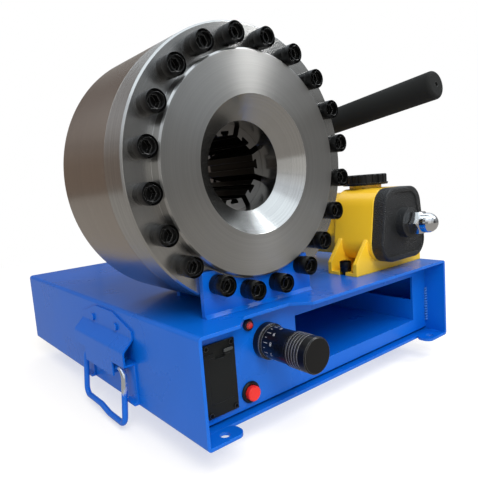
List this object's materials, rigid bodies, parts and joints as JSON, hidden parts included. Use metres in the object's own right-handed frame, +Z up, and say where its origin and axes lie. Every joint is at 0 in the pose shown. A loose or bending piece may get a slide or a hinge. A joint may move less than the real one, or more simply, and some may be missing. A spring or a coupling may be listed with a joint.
{
  "type": "hose crimping machine",
  "caption": "Bench hose crimper: round head of wedge dies closed by a ring piston, hand pump with lever, stop dial and storage bay in a sheet metal base.",
  "frame": {"origin": "centre of the four foot bolts, on the base's underside", "axes": "+Z up, the operator stands at -Y and the hose goes in along +Y, +X to the right"},
  "size_m": [0.4133, 0.4872, 0.3748],
  "materials": {
    "blue_paint": "glossy powder coat",
    "yellow_paint": "glossy enamel",
    "ring_steel": "finely turned",
    "barrel_steel": "turned, oiled",
    "die_steel": "ground front, dark flanks",
    "piston_steel": "ground",
    "black_steel": "black oxide",
    "bright_steel": "zinc plated",
    "chrome": "polished",
    "black_plastic": "fine grained",
    "black_rubber": "fine textured",
    "foam_rubber": "closed cell foam",
    "black_anodised": "black anodised",
    "red_plastic": "glossy",
    "red_lens": "translucent"
  },
  "bodies": {
    "frame": {"base_shell": "blue_paint", "front_panel": "blue_paint", "bottom_plate": "blue_paint", "rear_panel": "blue_paint", "bay_tray": "blue_paint", "battery_case": "black_plastic", "battery_screws": "black_steel", "lamp_bezel": "chrome", "lamp_lens": "red_lens", "button_bezel": "black_plastic", "dial_flange": "black_anodised", "front_ring": "ring_steel", "barrel": "barrel_steel", "head_bracket": "blue_paint", "head_saddle": "blue_paint", "head_bolts": "black_steel", "port_fitting": "bright_steel", "pump_case": "yellow_paint", "pump_screws": "black_steel", "pump_end_cap": "black_rubber", "pump_cap_nut": "chrome", "pump_block": "yellow_paint", "plunger_gland": "bright_steel", "lever_pin": "bright_steel", "handle_plate_left": "blue_paint", "handle_plate_right": "blue_paint", "handle_rivets_left": "blue_paint", "handle_rivets_right": "blue_paint"},
    "piston": {"piston": "piston_steel", "piston_tail": "piston_steel", "piston_seal": "black_rubber"},
    "dial": {"dial_knob": "black_anodised"},
    "button": {"button_cap": "red_plastic"},
    "drawer": {"battery_drawer": "black_plastic"},
    "lever": {"lever_yoke": "black_steel", "lever_tube": "black_steel", "lever_grip": "foam_rubber"},
    "plunger": {"plunger": "chrome"},
    "release": {"release_knob": "black_plastic"},
    "filler": {"filler_cap": "black_plastic"},
    "bail_left": {"handle_bail_left": "blue_paint"},
    "bail_right": {"handle_bail_right": "blue_paint"},
    "die_1": {"die_1": "die_steel"},
    "die_2": {"die_2": "die_steel"},
    "die_3": {"die_3": "die_steel"},
    "die_4": {"die_4": "die_steel"},
    "die_5": {"die_5": "die_steel"},
    "die_6": {"die_6": "die_steel"},
    "die_7": {"die_7": "die_steel"},
    "die_8": {"die_8": "die_steel"}
  },
  "joints": [
    {"name": "piston_slide", "type": "slide", "parent": "frame", "child": "piston", "axis": [0, -1, 0], "range_m": [0, 0.0194], "stiffness_N_per_m": 3000, "springref_m": -0.015},
    {"name": "dial_turn", "type": "hinge", "parent": "frame", "child": "dial", "pos_m": [-0.0935, -0.23, 0.063], "axis": [0, -1, 0], "continuous": true},
    {"name": "button_push", "type": "slide", "parent": "frame", "child": "button", "axis": [0, 1, 0], "range_m": [0, 0.003], "stiffness_N_per_m": 500, "springref_m": -0.003},
    {"name": "drawer_pull", "type": "slide", "parent": "frame", "child": "drawer", "axis": [0, -1, 0], "range_m": [0, 0.04]},
    {"name": "lever_swing", "type": "hinge", "parent": "frame", "child": "lever", "pos_m": [0.115, 0.078, 0.2286], "axis": [-1, 0, 0], "range_deg": [0, 35]},
    {"name": "plunger_lift", "type": "slide", "parent": "frame", "child": "plunger", "axis": [0, 0, 1], "range_m": [0, 0.016]},
    {"name": "release_turn", "type": "hinge", "parent": "frame", "child": "release", "pos_m": [0.16, 0.077, 0.135], "axis": [1, 0, 0], "range_deg": [0, 270]},
    {"name": "filler_turn", "type": "hinge", "parent": "frame", "child": "filler", "pos_m": [0.115, -0.163, 0.2], "axis": [0, 0, 1], "continuous": true},
    {"name": "bail_left_swing", "type": "hinge", "parent": "frame", "child": "bail_left", "pos_m": [-0.192, -0.048, 0.037], "axis": [0, 1, 0], "range_deg": [0, 75]},
    {"name": "bail_right_swing", "type": "hinge", "parent": "frame", "child": "bail_right", "pos_m": [0.192, -0.048, 0.037], "axis": [0, -1, 0], "range_deg": [0, 75]},
    {"name": "die_1_slide", "type": "slide", "parent": "frame", "child": "die_1", "axis": [0.0785, 0, -0.9969], "range_m": [0, 0.0068]},
    {"name": "die_2_slide", "type": "slide", "parent": "frame", "child": "die_2", "axis": [-0.6494, 0, -0.7604], "range_m": [0, 0.0068]},
    {"name": "die_3_slide", "type": "slide", "parent": "frame", "child": "die_3", "axis": [-0.9969, 0, -0.0785], "range_m": [0, 0.0068]},
    {"name": "die_4_slide", "type": "slide", "parent": "frame", "child": "die_4", "axis": [-0.7604, 0, 0.6494], "range_m": [0, 0.0068]},
    {"name": "die_5_slide", "type": "slide", "parent": "frame", "child": "die_5", "axis": [-0.0785, 0, 0.9969], "range_m": [0, 0.0068]},
    {"name": "die_6_slide", "type": "slide", "parent": "frame", "child": "die_6", "axis": [0.6494, 0, 0.7604], "range_m": [0, 0.0068]},
    {"name": "die_7_slide", "type": "slide", "parent": "frame", "child": "die_7", "axis": [0.9969, 0, 0.0785], "range_m": [0, 0.0068]},
    {"name": "die_8_slide", "type": "slide", "parent": "frame", "child": "die_8", "axis": [0.7604, 0, -0.6494], "range_m": [0, 0.0068]}
  ],
  "couplings": [
    {"joint": "plunger_lift", "follows": "lever_swing", "m_per_rad": 0.026},
    {"joint": "die_1_slide", "follows": "piston_slide", "ratio": 0.35},
    {"joint": "die_2_slide", "follows": "piston_slide", "ratio": 0.35},
    {"joint": "die_3_slide", "follows": "piston_slide", "ratio": 0.35},
    {"joint": "die_4_slide", "follows": "piston_slide", "ratio": 0.35},
    {"joint": "die_5_slide", "follows": "piston_slide", "ratio": 0.35},
    {"joint": "die_6_slide", "follows": "piston_slide", "ratio": 0.35},
    {"joint": "die_7_slide", "follows": "piston_slide", "ratio": 0.35},
    {"joint": "die_8_slide", "follows": "piston_slide", "ratio": 0.35}
  ]
}
